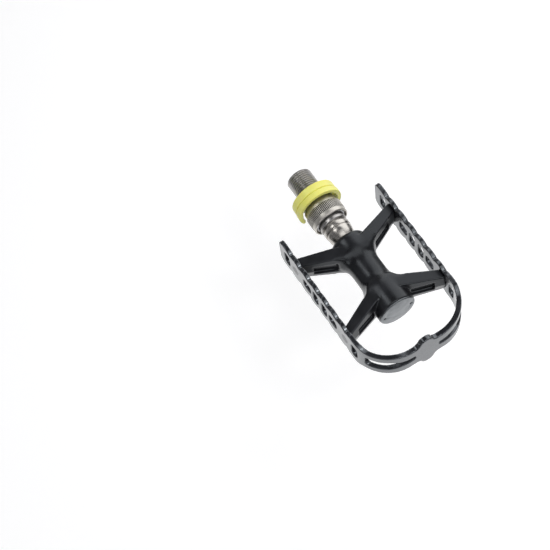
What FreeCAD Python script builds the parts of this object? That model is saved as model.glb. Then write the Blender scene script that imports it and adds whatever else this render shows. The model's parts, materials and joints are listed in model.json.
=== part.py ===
import FreeCAD, Part
import math
import os
import re

import Sketcher

# A double-sided touring pedal whose axle plugs into a coupler screwed to the crank.
# X runs outboard along the axle from the crank's face, Y across the pedal, Z up. Millimetres.

SIZES = {
    # Crank stud and coupler
    "thread_radius": 7.14,
    "thread_length": 13.5,
    "thread_chamfer": 0.9,
    "flange_step": 1.2,
    "flange_width": 4.2,
    "wrench_flats": 15.0,
    "neck_radius": 7.7,
    "mouth_x": 21.9,
    "socket_floor_x": 4.6,
    "drive_step": 0.5,
    "drive_depth": 3.6,
    "lock_ball_x": 12.6,
    "lock_ball_radius": 1.5875,
    "lock_ball_count": 6,
    "lock_ball_bite": 0.475,
    "ring_wire": 1.2,
    "ring_bite": 0.35,
    "ring_split": 24,
    # Sliding collar and its spring
    "collar_rear_x": 7.6,
    "knurl_start_x": 11.3,
    "knurl_end_x": 16.6,
    "collar_front_x": 19.3,
    "spring_space": 1.05,
    "skirt_wall": 0.65,
    "knurl_step": 0.75,
    "rim_step": 0.55,
    "knurl_teeth": 72,
    "knurl_cut": 0.4,
    "land_width": 3.8,
    "land_before_ball": 1.8,
    "relief_depth": 0.8,
    "relief_width": 2.3,
    "lip_width": 0.5,
    "rim_recess": 1.5,
    "spring_wire": 0.8,
    "spring_turns": 4,
    # Safety clip
    "clip_rear_x": 0.6,
    "clip_step_x": 5.5,
    "clip_front_x": 8.4,
    "clip_wall": 2.2,
    "clip_rear_step": 0.4,
    "clip_space": 1.4,
    "clip_groove_x": 4.5,
    "clip_groove_width": 0.8,
    "clip_groove_depth": 0.7,
    "clip_leg": 7.2,
    # Axle
    "axle_neck_radius": 6.6,
    "axle_neck_end_x": 23.6,
    "axle_band_radius": 7.5,
    "axle_band_end_x": 25.8,
    "axle_groove_radius": 7.0,
    "axle_groove_end_x": 26.4,
    "bulge_start_radius": 7.25,
    "bulge_end_radius": 5.8,
    "bulge_end_x": 32.4,
    "bulge_curve": 13.0,
    "seal_seat_radius": 6.2,
    "axle_thread_radius": 3.5,
    "axle_thread_x": 69.0,
    "axle_end_x": 78.4,
    # Bearings
    "bearing_ball_radius": 1.5875,
    "ball_circle": 5.9,
    "bearing_balls": 11,
    "race_gap": 0.09,
    "inner_row_x": 37.0,
    "outer_row_x": 70.0,
    "cup_radius": 8.3,
    "cup_wall": 1.2,
    "cone_radius": 6.2,
    "cone_end_x": 74.2,
    "washer_radius": 5.8,
    "washer_thickness": 1.0,
    "nut_flats": 10.0,
    "nut_height": 3.0,
    "seal_x": 33.5,
    "seal_width": 1.5,
    # Pedal body
    "body_mid_x": 55.4,
    "barrel_start_x": 33.2,
    "barrel_end_x": 80.2,
    "barrel_round": 3.0,
    "inner_barrel_radius": 10.2,
    "inner_barrel_end_x": 40.0,
    "waist_radius": 8.2,
    "web_half_height": 5.0,
    "waist_start_x": 50.0,
    "waist_end_x": 58.5,
    "outer_barrel_radius": 10.6,
    "outer_barrel_start_x": 68.0,
    "middle_bore": 5.75,
    "arm_half_height": 6.2,
    "arm_bulge": 1.2,
    "arm_sink": 0.5,
    "arm_foot_far": 25.8,
    "arm_foot_near": 20.5,
    "arm_root_far": 19.7,
    "arm_root_near": 11.5,
    "arm_root_y": 9.9,
    "arm_web_y": 7.4,
    "arm_blend": 8.0,
    "foot_depth": 2.4,
    "pocket_depth": 1.6,
    "pocket_half_height": 3.8,
    "pocket_root_y": 11.3,
    "pocket_end_wall": 2.8,
    "cap_radius": 10.3,
    "cap_face": 0.8,
    "cap_plug_depth": 3.0,
    "cap_plug_wall": 1.0,
    "cap_pin_circle": 8.0,
    "cap_pin_radius": 0.8,
    # Cage
    "half_width": 30.7,
    "plate_wall": 2.4,
    "band_wall": 2.9,
    "cage_end_x": 107.1,
    "corner_radius": 21.5,
    "crest_height": 10.0,
    "valley_height": 8.9,
    "notch_pitch": 8.6,
    "first_notch_x": 27.9,
    "tip_x": 17.1,
    "notch_half_width": 0.55,
    "notch_depth": 0.8,
    "tip_top_round": 3.6,
    "tip_bottom_round": 4.0,
    "band_half_height": 8.4,
    "crest_run": 4.2,
    "crest_ramp_share": 0.5641,
    "band_full_y": 18.5,
    "band_neck_half": 7.6,
    "band_neck_y": 7.0,
    "tab_half_height": 12.4,
    "tab_flat": 0.3,
    "tab_skew": 0.4,
    "slot_half_height": 4.1,
    "slot_tip_half": 1.7,
    "slot_tip_y": 8.0,
    "slot_mid_half": 2.5,
    "slot_mid_y": 14.8,
    "slot_full_y": 21.0,
    "slot_end_x": 93.9,
    "slot_end_round": 2.0,
    "window_height": 10.8,
    "window_width": 4.9,
    "wide_window_width": 7.2,
    "wide_window_height": 7.4,
    "window_round": 2.4,
    "window_pitch": 8.0,
    "first_window_x": 24.4,
    "last_window_x": 86.9,
    # Cage rivets
    "rivet_radius": 1.6,
    "rivet_head_radius": 2.5,
    "rivet_head_depth": 0.9,
    "rivet_grip": 2.0,
    # Fits
    "running_gap": 0.08,
    "static_gap": 0.05,
    "loose_gap": 0.1,
}
NOTCH_COUNT = 7
OVERCUT = 1.0

document = FreeCAD.newDocument("quick_release_pedal")
dims = document.addObject("Spreadsheet::Sheet", "dims")
for row, (alias, number) in enumerate(SIZES.items(), start=1):
    dims.set(f"A{row}", alias)
    dims.set(f"B{row}", str(number))
    dims.setAlias(f"B{row}", alias)
document.recompute()

SIZE_WORDS = re.compile(r"\b(" + "|".join(sorted(SIZES, key=len, reverse=True)) + r")\b")
AXIAL = FreeCAD.Rotation(FreeCAD.Vector(0, 1, 0), 90)
ACROSS = FreeCAD.Rotation(FreeCAD.Vector(1, 0, 0), -90)
PLANES = {
    "XY_Plane": FreeCAD.Rotation(),
    "XZ_Plane": FreeCAD.Rotation(FreeCAD.Vector(1, 0, 0), 90),
    "YZ_Plane": FreeCAD.Rotation(FreeCAD.Vector(1, 1, 1), 120),
}
HALF_TURN = "half turn"
nodes = []


def bound(formula):
    """The formula with each size written as a cell of the sheet."""
    return SIZE_WORDS.sub(r"dims.\1", str(formula))


def value(formula):
    return float(dims.evalExpression(bound(formula)))


def bind(feature, **formulas):
    """Tie the feature's properties to formulas; a double underscore stands for a dot."""
    for name, formula in formulas.items():
        feature.setExpression(name.replace("__", "."), bound(formula))
    return feature


def node(feature, label):
    """Keep a finished piece under the name that its file gets."""
    feature.Label = label
    nodes.append(feature)
    return feature


def arc_between(start, end, radius):
    """The short arc from start to end, its centre on the left for a positive radius."""
    chord = end - start
    half = chord.Length / 2
    left = FreeCAD.Vector(-chord.y, chord.x, 0).normalize()
    rise = math.sqrt(max(radius * radius - half * half, 0))
    centre = start + chord * 0.5 + left * math.copysign(rise, radius)
    first, last = (start, end) if radius > 0 else (end, start)
    angles = [math.atan2(point.y - centre.y, point.x - centre.x) for point in (first, last)]
    circle = Part.Circle(centre, FreeCAD.Vector(0, 0, 1), abs(radius))
    return Part.ArcOfCircle(circle, *angles)


def draw(sketch, outlines):
    """Closed outlines whose corners are formulas; a third entry bends the side that follows.

    An outline of a single (x, y, radius) entry is a circle, and a half turn is an arch
    between two corners on the sketch's X axis.
    """
    for outline in outlines:
        corners = [FreeCAD.Vector(value(corner[0]), value(corner[1]), 0) for corner in outline]
        base = sketch.GeometryCount
        total = len(outline)
        if total == 1:
            circle = Part.Circle(corners[0], FreeCAD.Vector(0, 0, 1), value(outline[0][2]))
            sketch.addGeometry(circle, False)
            pin_corner(sketch, base, 3, outline[0], corners[0])
            continue
        shapes = []
        ends = []
        for index, corner in enumerate(outline):
            start = corners[index]
            end = corners[(index + 1) % total]
            if len(corner) == 3:
                half_turn = corner[2] == HALF_TURN
                radius = (start.x - end.x) / 2 if half_turn else value(corner[2])
                shapes.append(arc_between(start, end, radius))
                ends.append((1, 2) if radius > 0 else (2, 1))
            else:
                shapes.append(Part.LineSegment(start, end))
                ends.append((1, 2))
        sketch.addGeometry(shapes, False)
        for index, corner in enumerate(outline):
            following = (index + 1) % total
            joined = (base + index, ends[index][1], base + following, ends[following][0])
            sketch.addConstraint(Sketcher.Constraint("Coincident", *joined))
        for index, corner in enumerate(outline):
            pin_corner(sketch, base + index, ends[index][0], corner, corners[index])


def pin_corner(sketch, side, end, corner, place):
    """Fix one corner, and the radius of the side that starts there, to their formulas."""
    for kind, formula, number, axis in (
        ("DistanceX", corner[0], place.x, -2),
        ("DistanceY", corner[1], place.y, -1),
    ):
        if abs(number) < 1e-9:
            sketch.addConstraint(Sketcher.Constraint("PointOnObject", side, end, axis))
        else:
            rule = sketch.addConstraint(Sketcher.Constraint(kind, side, end, number))
            sketch.setExpression(f"Constraints[{rule}]", bound(formula))
    if len(corner) == 3 and corner[2] != HALF_TURN:
        radius = abs(value(corner[2]))
        rule = sketch.addConstraint(Sketcher.Constraint("Radius", side, radius))
        sketch.setExpression(f"Constraints[{rule}]", bound(f"abs({corner[2]})"))
    elif len(corner) == 3:
        sketch.addConstraint(Sketcher.Constraint("PointOnObject", side, 3, -1))


def body_sketch(body, name, plane, outlines, lift=None):
    """A sketch on one of the body's origin planes, lifted along its normal if asked."""
    sketch = body.newObject("Sketcher::SketchObject", name)
    support = next(item for item in body.Origin.OriginFeatures if item.Role == plane)
    sketch.AttachmentSupport = [(support, "")]
    sketch.MapMode = "FlatFace"
    if lift is not None:
        bind(sketch, AttachmentOffset__Base__z=lift)
    draw(sketch, outlines)
    document.recompute()
    return sketch


def turned(name, outline):
    """A body turned about X, from an outline of (x, radius) corners."""
    body = document.addObject("PartDesign::Body", name)
    sketch = body_sketch(body, f"{name}_section", "XY_Plane", [outline])
    revolution = body.newObject("PartDesign::Revolution", f"{name}_turning")
    revolution.Profile = sketch
    revolution.ReferenceAxis = (sketch, ["H_Axis"])
    document.recompute()
    return body


def groove(body, name, outline):
    """A turned cut about X."""
    sketch = body_sketch(body, f"{name}_section", "XY_Plane", [outline])
    cut = body.newObject("PartDesign::Groove", name)
    cut.Profile = sketch
    cut.ReferenceAxis = (sketch, ["H_Axis"])
    document.recompute()
    return cut


def pocket(body, name, plane, outlines, length, lift=None, reverse=False, symmetric=False):
    """A straight cut, which has to take some material away."""
    before = body.Shape.Volume
    sketch = body_sketch(body, f"{name}_outline", plane, outlines, lift)
    cut = body.newObject("PartDesign::Pocket", name)
    cut.Profile = sketch
    cut.Reversed = reverse
    if symmetric:
        cut.SideType = "Symmetric"
    bind(cut, Length=length)
    document.recompute()
    if not body.Shape.Volume < before:
        raise RuntimeError(f"{name} cuts nothing")
    return cut


def pad(body, name, plane, outlines, length, lift=None, symmetric=False):
    sketch = body_sketch(body, f"{name}_outline", plane, outlines, lift)
    block = body.newObject("PartDesign::Pad", name)
    block.Profile = sketch
    if symmetric:
        block.SideType = "Symmetric"
    bind(block, Length=length)
    document.recompute()
    return block


def polar(body, feature, count):
    """Repeat a cut round the axle."""
    pattern = body.newObject("PartDesign::PolarPattern", f"{feature.Name}_ring")
    pattern.Originals = [feature]
    axis = next(item for item in body.Origin.OriginFeatures if item.Role == "X_Axis")
    pattern.Axis = (axis, [""])
    pattern.Angle = 360
    bind(pattern, Occurrences=count)
    body.Tip = pattern
    document.recompute()
    return pattern


def free_sketch(name, plane, outlines):
    """A sketch that belongs to no body, on one of the main planes."""
    sketch = document.addObject("Sketcher::SketchObject", f"{name}_outline")
    sketch.Placement = FreeCAD.Placement(FreeCAD.Vector(), PLANES[plane])
    draw(sketch, outlines)
    document.recompute()
    return sketch


def extruded(name, plane, outlines, length, symmetric=True):
    """A prism from a free sketch, symmetric about its plane unless told otherwise."""
    sketch = free_sketch(name, plane, outlines)
    prism = document.addObject("Part::Extrusion", name)
    prism.Base = sketch
    prism.DirMode = "Normal"
    prism.Solid = True
    prism.Symmetric = symmetric
    bind(prism, LengthFwd=length)
    document.recompute()
    return prism


def combined(kind, name, *pieces):
    """A Part boolean of two or more pieces."""
    result = document.addObject(f"Part::{kind}", name)
    if kind == "Cut":
        result.Base, result.Tool = pieces
    else:
        result.Shapes = list(pieces)
    document.recompute()
    return result


def group(name, pieces):
    """Identical separate solids that share a node."""
    compound = document.addObject("Part::Compound", name)
    compound.Links = pieces
    document.recompute()
    return compound


def hexagon(flats):
    """A hexagon of that width across flats, two of its corners on the sketch's X axis."""
    corner = f"{flats} / sqrt(3)"
    return [
        (corner, "0"),
        (f"{corner} / 2", f"{flats} / 2"),
        (f"-{corner} / 2", f"{flats} / 2"),
        (f"-{corner}", "0"),
        (f"-{corner} / 2", f"-{flats} / 2"),
        (f"{corner} / 2", f"-{flats} / 2"),
    ]


def rectangle(low_x, low_y, high_x, high_y):
    return [(low_x, low_y), (high_x, low_y), (high_x, high_y), (low_x, high_y)]


def ball_ring(name, radius, circle, row_x, count):
    """Balls evenly spaced on a circle round the axle."""
    balls = []
    for index in range(int(value(count))):
        ball = document.addObject("Part::Sphere", f"{name}_{index}")
        turn = f"{index} * 360 deg / {count}"
        bind(
            ball,
            Radius=radius,
            Placement__Base__x=row_x,
            Placement__Base__y=f"({circle}) * sin({turn})",
            Placement__Base__z=f"({circle}) * cos({turn})",
        )
        balls.append(ball)
    return group(name, balls)


# Places that several pieces share
LOCK_BALL_CIRCLE = "(neck_radius - lock_ball_radius)"
SOCKET_RADIUS = "(neck_radius - 2 * lock_ball_radius + lock_ball_bite)"
DRIVE_FLATS = f"(2 * ({SOCKET_RADIUS} + drive_step))"
FLANGE_RADIUS = "(neck_radius + flange_step)"
SPRING_POCKET = "(neck_radius + spring_space)"
RELIEF_RADIUS = "(neck_radius + relief_depth)"
RIM_RECESS_RADIUS = "(neck_radius + rim_recess)"
SKIRT_RADIUS = f"({SPRING_POCKET} + skirt_wall)"
KNURL_RADIUS = f"({SKIRT_RADIUS} + knurl_step)"
RIM_RADIUS = f"({SKIRT_RADIUS} + rim_step)"
CLIP_BORE = f"({FLANGE_RADIUS} + loose_gap)"
CLIP_FRONT_BORE = f"({SKIRT_RADIUS} + clip_space)"
CLIP_MOUTH = f"({SKIRT_RADIUS} + loose_gap)"
CLIP_RADIUS = f"({CLIP_FRONT_BORE} + clip_wall)"
CLIP_REAR_RADIUS = f"({CLIP_RADIUS} - clip_rear_step)"
CLIP_GROOVE_RADIUS = f"({CLIP_REAR_RADIUS} - clip_groove_depth)"
LAND_START = "(lock_ball_x - land_before_ball)"
LAND_END = f"({LAND_START} + land_width)"
RELIEF_END = f"({LAND_END} + relief_width)"
LIP_END = f"({RELIEF_END} + lip_width)"
RING_X = f"({LIP_END} + loose_gap + ring_wire / 2)"
RING_CIRCLE = "(neck_radius - ring_bite + ring_wire / 2)"
SPIGOT_RADIUS = f"({SOCKET_RADIUS} - static_gap)"
SPIGOT_END = "(socket_floor_x + 3 * loose_gap)"
DRIVE_START = "(mouth_x - drive_depth)"
RACE = "(bearing_ball_radius + race_gap)"
SHAFT_RADIUS = f"(ball_circle - {RACE})"
CUP_FACE = f"({RACE} + cup_wall)"
CUP_INNER = f"(ball_circle + {RACE})"
CONE_BORE = "(axle_thread_radius + static_gap)"
WASHER_END = "(cone_end_x + washer_thickness)"
NUT_END = f"({WASHER_END} + nut_height)"
FOOT_Y = "(half_width - plate_wall)"
RIVET_OFFSET = "((arm_foot_far + arm_foot_near) / 2)"
CORNER_X = "(cage_end_x - corner_radius)"
CORNER_Y = "(half_width - corner_radius)"
BAND_TURN_X = f"({CORNER_X} + corner_radius * 0.73)"
BAND_TURN_Y = f"({CORNER_Y} + corner_radius * 0.745)"


def make_coupler():
    """The steel coupler: crank stud, wrench flange, and a neck with the axle's socket."""
    groove_half = "(ring_wire / 2 + static_gap)"
    groove_floor = "(neck_radius - ring_bite - static_gap)"
    body = turned(
        "coupler",
        [
            ("-thread_length", "0"),
            ("-thread_length", "thread_radius - thread_chamfer"),
            ("-thread_length + thread_chamfer", "thread_radius"),
            ("0", "thread_radius"),
            ("0", FLANGE_RADIUS),
            ("flange_width", FLANGE_RADIUS),
            ("flange_width", "neck_radius"),
            (f"{RING_X} - {groove_half}", "neck_radius"),
            (f"{RING_X} - {groove_half}", groove_floor),
            (f"{RING_X} + {groove_half}", groove_floor),
            (f"{RING_X} + {groove_half}", "neck_radius"),
            ("mouth_x - ring_bite", "neck_radius"),
            ("mouth_x", "neck_radius - ring_bite"),
            ("mouth_x", SOCKET_RADIUS),
            ("socket_floor_x", SOCKET_RADIUS),
            ("socket_floor_x", "0"),
        ],
    )
    reach = f"({FLANGE_RADIUS} + loose_gap)"
    pocket(
        body,
        "wrench_cut",
        "YZ_Plane",
        [
            rectangle(f"-{reach}", "wrench_flats / 2", reach, reach),
            rectangle(f"-{reach}", f"-{reach}", reach, "-wrench_flats / 2"),
        ],
        "flange_width",
        reverse=True,
    )
    pocket(body, "drive_socket", "YZ_Plane", [hexagon(DRIVE_FLATS)], "drive_depth", "mouth_x")
    hole_radius = "(lock_ball_radius + static_gap)"
    ball_hole = pocket(
        body,
        "ball_hole",
        "XY_Plane",
        [[("lock_ball_x", "0", hole_radius)]],
        "neck_radius + loose_gap",
        reverse=True,
    )
    polar(body, ball_hole, "lock_ball_count")
    node(body, "crank_coupler")


def make_lock():
    """The balls that hold the axle, the sliding collar over them, its spring and its stop ring."""
    balls = ball_ring("lock_balls", "lock_ball_radius", LOCK_BALL_CIRCLE, "lock_ball_x", "lock_ball_count")
    node(balls, "lock_balls")

    edge = "ring_bite"
    collar = turned(
        "collar",
        [
            ("collar_rear_x", SPRING_POCKET),
            ("collar_rear_x", f"{SKIRT_RADIUS} - {edge}"),
            (f"collar_rear_x + {edge}", SKIRT_RADIUS),
            ("knurl_start_x", SKIRT_RADIUS),
            ("knurl_start_x", KNURL_RADIUS),
            ("knurl_end_x", KNURL_RADIUS),
            ("knurl_end_x", RIM_RADIUS),
            (f"collar_front_x - {edge}", RIM_RADIUS),
            ("collar_front_x", f"{RIM_RADIUS} - {edge}"),
            ("collar_front_x", RIM_RECESS_RADIUS),
            (LIP_END, RIM_RECESS_RADIUS),
            (LIP_END, "neck_radius + 2 * loose_gap"),
            (RELIEF_END, "neck_radius + 2 * loose_gap"),
            (RELIEF_END, RELIEF_RADIUS),
            (LAND_END, RELIEF_RADIUS),
            (LAND_END, "neck_radius + running_gap"),
            (LAND_START, "neck_radius + running_gap"),
            (LAND_START, SPRING_POCKET),
        ],
    )
    half_tooth = f"({KNURL_RADIUS} * pi / knurl_teeth * 0.8)"
    tooth_gap = pocket(
        collar,
        "knurl_gap",
        "YZ_Plane",
        [
            [
                ("0", f"{KNURL_RADIUS} - knurl_cut"),
                (half_tooth, f"{KNURL_RADIUS} + loose_gap"),
                (f"-{half_tooth}", f"{KNURL_RADIUS} + loose_gap"),
            ]
        ],
        "knurl_end_x - knurl_start_x",
        "knurl_start_x",
        reverse=True,
    )
    polar(collar, tooth_gap, "knurl_teeth")
    node(collar, "lock_collar")

    ring = document.addObject("Part::Torus", "stop_ring")
    bind(ring, Radius1=RING_CIRCLE, Radius2="ring_wire / 2", Angle3="360 - ring_split")
    bind(ring, Placement__Base__x=RING_X)
    ring.Placement.Rotation = AXIAL
    node(ring, "collar_stop_ring")

    wire_centre = f"((neck_radius + {SPRING_POCKET}) / 2)"
    seat = "(spring_wire / 2 + static_gap)"
    coil = document.addObject("Part::Helix", "spring_path")
    coil.Placement.Rotation = AXIAL
    travel = f"({LAND_START} - flange_width - 2 * {seat})"
    bind(
        coil,
        Radius=wire_centre,
        Height=travel,
        Pitch=f"{travel} / spring_turns",
        Placement__Base__x=f"flange_width + {seat}",
    )
    wire = document.addObject("Part::Circle", "spring_wire_section")
    wire.Placement.Rotation = ACROSS.inverted()
    bind(
        wire,
        Radius="spring_wire / 2",
        Placement__Base__x=f"flange_width + {seat}",
        Placement__Base__z=f"-{wire_centre}",
    )
    document.recompute()
    spring = document.addObject("Part::Sweep", "spring")
    spring.Sections = [wire]
    spring.Spine = (coil, ["Edge1"])
    spring.Solid = True
    spring.Frenet = True
    document.recompute()
    node(spring, "collar_spring")


def horseshoe(inner, outer, mouth):
    """A ring that is open below, its two legs straight inside so that they pass the mouth's width."""
    foot = f"sqrt({outer} ^ 2 - clip_leg ^ 2)"
    right = [(inner, "0"), (inner, "-clip_leg")]
    left = [(f"-{inner}", "-clip_leg"), (f"-{inner}", "0", HALF_TURN)]
    if mouth != inner:
        drop = f"-sqrt({inner} ^ 2 - {mouth} ^ 2)"
        right = [(inner, "0", f"-{inner}"), (mouth, drop), (mouth, "-clip_leg")]
        left = [(f"-{mouth}", "-clip_leg"), (f"-{mouth}", drop, f"-{inner}"), (f"-{inner}", "0", HALF_TURN)]
    return [
        *right,
        (foot, "-clip_leg", outer),
        (outer, "0", HALF_TURN),
        (f"-{outer}", "0", outer),
        (f"-{foot}", "-clip_leg"),
        *left,
    ]


def make_clip():
    """The plastic safety clip: an open ring over the flange, with a step behind the collar."""
    groove_end = "(clip_groove_x + clip_groove_width)"
    body = document.addObject("PartDesign::Body", "clip")
    for name, inner, outer, mouth, start, end in (
        ("rear_band", CLIP_BORE, CLIP_REAR_RADIUS, CLIP_BORE, "clip_rear_x", "clip_groove_x"),
        ("clip_groove", CLIP_BORE, CLIP_GROOVE_RADIUS, CLIP_BORE, "clip_groove_x", groove_end),
        ("middle_band", CLIP_BORE, CLIP_RADIUS, CLIP_BORE, groove_end, "clip_step_x"),
        ("front_band", CLIP_FRONT_BORE, CLIP_RADIUS, CLIP_MOUTH, "clip_step_x", "clip_front_x"),
    ):
        pad(body, name, "YZ_Plane", [horseshoe(inner, outer, mouth)], f"{end} - {start}", start)
    node(body, "safety_clip")


def make_axle():
    """The axle: locked spigot, hexagon drive, polished bulge, inner cone, shaft and thread."""
    groove_radius = "(lock_ball_radius + loose_gap)"
    groove_half = f"sqrt({groove_radius} ^ 2 - ({LOCK_BALL_CIRCLE} - {SPIGOT_RADIUS}) ^ 2)"
    chamfer = "ring_bite * 2"
    body = turned(
        "axle",
        [
            (SPIGOT_END, "0"),
            (SPIGOT_END, f"{SPIGOT_RADIUS} - {chamfer}"),
            (f"{SPIGOT_END} + {chamfer}", SPIGOT_RADIUS),
            (f"lock_ball_x - {groove_half}", SPIGOT_RADIUS, groove_radius),
            (f"lock_ball_x + {groove_half}", SPIGOT_RADIUS),
            ("mouth_x", SPIGOT_RADIUS),
            ("mouth_x", "axle_neck_radius"),
            ("axle_neck_end_x", "axle_neck_radius"),
            ("axle_neck_end_x", "axle_band_radius"),
            ("axle_band_end_x", "axle_band_radius"),
            ("axle_band_end_x", "axle_groove_radius"),
            ("axle_groove_end_x", "axle_groove_radius"),
            ("axle_groove_end_x", "bulge_start_radius", "-bulge_curve"),
            ("bulge_end_x", "bulge_end_radius"),
            ("bulge_end_x", "seal_seat_radius"),
            (f"inner_row_x - {RACE}", "seal_seat_radius"),
            (f"inner_row_x - {RACE}", "ball_circle", RACE),
            ("inner_row_x", SHAFT_RADIUS),
            ("axle_thread_x", SHAFT_RADIUS),
            ("axle_thread_x", "axle_thread_radius"),
            (f"axle_end_x - {chamfer}", "axle_thread_radius"),
            ("axle_end_x", f"axle_thread_radius - {chamfer}"),
            ("axle_end_x", "0"),
        ],
    )
    pad(
        body,
        "hex_drive",
        "YZ_Plane",
        [hexagon(f"({DRIVE_FLATS} - 2 * static_gap)")],
        "drive_depth - loose_gap",
        f"{DRIVE_START} + loose_gap",
    )
    node(body, "axle")


def make_bearings():
    """Loose-ball bearings: pressed cups, balls, the adjusting cone, its washer and nut, and a seal."""
    inner_cup = turned(
        "inner_cup",
        [
            (f"inner_row_x - {RACE}", CUP_INNER),
            (f"inner_row_x - {RACE}", "cup_radius"),
            (f"inner_row_x + {CUP_FACE}", "cup_radius"),
            (f"inner_row_x + {CUP_FACE}", "ball_circle"),
            (f"inner_row_x + {RACE}", "ball_circle", RACE),
            ("inner_row_x", CUP_INNER),
        ],
    )
    node(inner_cup, "inner_bearing_cup")
    outer_cup = turned(
        "outer_cup",
        [
            (f"outer_row_x + {RACE}", CUP_INNER),
            (f"outer_row_x + {RACE}", "cup_radius"),
            (f"outer_row_x - {CUP_FACE}", "cup_radius"),
            (f"outer_row_x - {CUP_FACE}", "ball_circle"),
            (f"outer_row_x - {RACE}", "ball_circle", f"-{RACE}"),
            ("outer_row_x", CUP_INNER),
        ],
    )
    node(outer_cup, "outer_bearing_cup")
    for side in ("inner", "outer"):
        name = f"{side}_bearing_balls"
        node(ball_ring(name, "bearing_ball_radius", "ball_circle", f"{side}_row_x", "bearing_balls"), name)
    cone = turned(
        "cone",
        [
            ("axle_thread_x + loose_gap", CONE_BORE),
            ("axle_thread_x + loose_gap", SHAFT_RADIUS),
            ("outer_row_x", SHAFT_RADIUS, RACE),
            (f"outer_row_x + {RACE}", "ball_circle"),
            (f"outer_row_x + {RACE}", "cone_radius"),
            ("cone_end_x", "cone_radius"),
            ("cone_end_x", CONE_BORE),
        ],
    )
    node(cone, "adjusting_cone")
    washer = turned(
        "washer",
        rectangle("cone_end_x", CONE_BORE, WASHER_END, "washer_radius"),
    )
    node(washer, "lock_washer")
    nut = document.addObject("PartDesign::Body", "nut")
    pad(nut, "nut_blank", "YZ_Plane", [hexagon("nut_flats")], "nut_height", WASHER_END)
    groove(nut, "nut_bore", rectangle(f"{WASHER_END} - {OVERCUT}", "0", f"{NUT_END} + {OVERCUT}", CONE_BORE))
    node(nut, "lock_nut")
    seal = turned(
        "seal",
        rectangle("seal_x", "seal_seat_radius + loose_gap", "seal_x + seal_width", "cup_radius"),
    )
    node(seal, "inner_dust_seal")


def make_cap():
    """The end cap: a thin face over the barrel's end, a plug ring, and two pin-spanner holes."""
    plug = "(cup_radius - static_gap)"
    face_x = "(barrel_end_x + cap_face)"
    edge = "(cap_face / 2)"
    body = turned(
        "cap",
        [
            (face_x, "0"),
            (face_x, f"cap_radius - {edge}"),
            (f"{face_x} - {edge}", "cap_radius"),
            ("barrel_end_x", "cap_radius"),
            ("barrel_end_x", plug),
            ("barrel_end_x - cap_plug_depth", plug),
            ("barrel_end_x - cap_plug_depth", f"{plug} - cap_plug_wall"),
            ("barrel_end_x", f"{plug} - cap_plug_wall"),
            ("barrel_end_x", "0"),
        ],
    )
    holes = [[(f"{side}cap_pin_circle", "0", "cap_pin_radius")] for side in ("-", "")]
    pocket(body, "pin_holes", "YZ_Plane", holes, "cap_face * 0.75", face_x)
    node(body, "end_cap")


def arm_line(foot, root, height):
    """Distance of an arm's edge from the body's middle, at a distance across the pedal."""
    return f"({root} + ({foot} - {root}) * (({height}) - arm_root_y) / ({FOOT_Y} - arm_root_y))"


def arms_outline(grow):
    """The arms of one side with a rounded throat at the waist, all flanks moved out by some amount."""

    def far(height):
        return f"({arm_line('arm_foot_far', 'arm_root_far', height)} + {grow})"

    def near(height):
        return f"({arm_line('arm_foot_near', 'arm_root_near', height)} - {grow})"

    slope = f"((arm_foot_near - arm_root_near) / ({FOOT_Y} - arm_root_y))"
    length = f"sqrt(1 + {slope} ^ 2)"
    tangent = f"(arm_blend * ({length} - {slope}))"
    web = f"(arm_web_y + {grow})"
    half = [
        (far("middle_bore"), "middle_bore"),
        (far(FOOT_Y), FOOT_Y),
        (near(FOOT_Y), FOOT_Y),
        (f"({near(web)} + {slope} * {tangent} / {length})", f"({web} + {tangent} / {length})"),
        (f"({near(web)} - {tangent})", web),
    ]
    inner = [(f"body_mid_x - {across}", height) for across, height in half]
    outer = [(f"body_mid_x + {across}", height) for across, height in reversed(half)]
    inner[-2] += ("arm_blend",)
    outer[0] += ("arm_blend",)
    return inner + outer


def arms_section():
    """The arms seen along the axle: they slope from the barrel's crown down to the cage."""
    reach = f"sqrt({FOOT_Y} ^ 2 + arm_half_height ^ 2)"
    crown = "(inner_barrel_radius - arm_sink)"
    turn = f"(atan(arm_half_height / {FOOT_Y}) + acos({crown} / {reach}))"
    crown_y = f"({crown} * cos({turn}))"
    crown_z = f"({crown} * sin({turn}))"
    top = [
        (f"-{FOOT_Y}", "arm_half_height"),
        (f"-{crown_y}", crown_z),
        (crown_y, crown_z),
        (FOOT_Y, "arm_half_height"),
    ]
    return top + mirrored_edge(top)


def waist_line(height, over):
    """The upper line from the inner barrel down to the waist and up to the outer barrel."""
    inner = f"(inner_barrel_radius + {over})"
    outer = f"(outer_barrel_radius + {over})"
    return [
        *s_curve("inner_barrel_end_x", inner, "waist_start_x", height, "-"),
        *s_curve("waist_end_x", height, "outer_barrel_start_x", outer, ""),
    ]


def make_arms():
    """Four arms with drafted flanks, as wide as they get in the middle plane."""
    level = "outer_barrel_radius"
    edge = f"(arm_bulge * (1 - {level} / arm_half_height))"
    sections = []
    for tag, grow, lift in (("low", edge, f"-{level}"), ("middle", "arm_bulge", "0"), ("high", edge, level)):
        side = arms_outline(grow)
        sketch = free_sketch(f"arms_{tag}", "XY_Plane", [side + mirrored_edge(side)])
        bind(sketch, Placement__Base__z=lift)
        sections.append(sketch)
    drafted = document.addObject("Part::Loft", "drafted_arms")
    drafted.Sections = sections
    drafted.Solid = True
    drafted.Ruled = True
    document.recompute()
    slopes = extruded("arm_slopes", "YZ_Plane", [arms_section()], "cage_end_x", symmetric=False)
    lid = waist_line("web_half_height", OVERCUT)
    lid = [("0", lid[0][1]), *lid, ("cage_end_x", lid[-1][1])]
    waist = extruded("arm_waist", "XZ_Plane", [lid + mirrored_edge(lid)], "2 * half_width")
    return combined("MultiCommon", "arms", drafted, slopes, waist)


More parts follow.
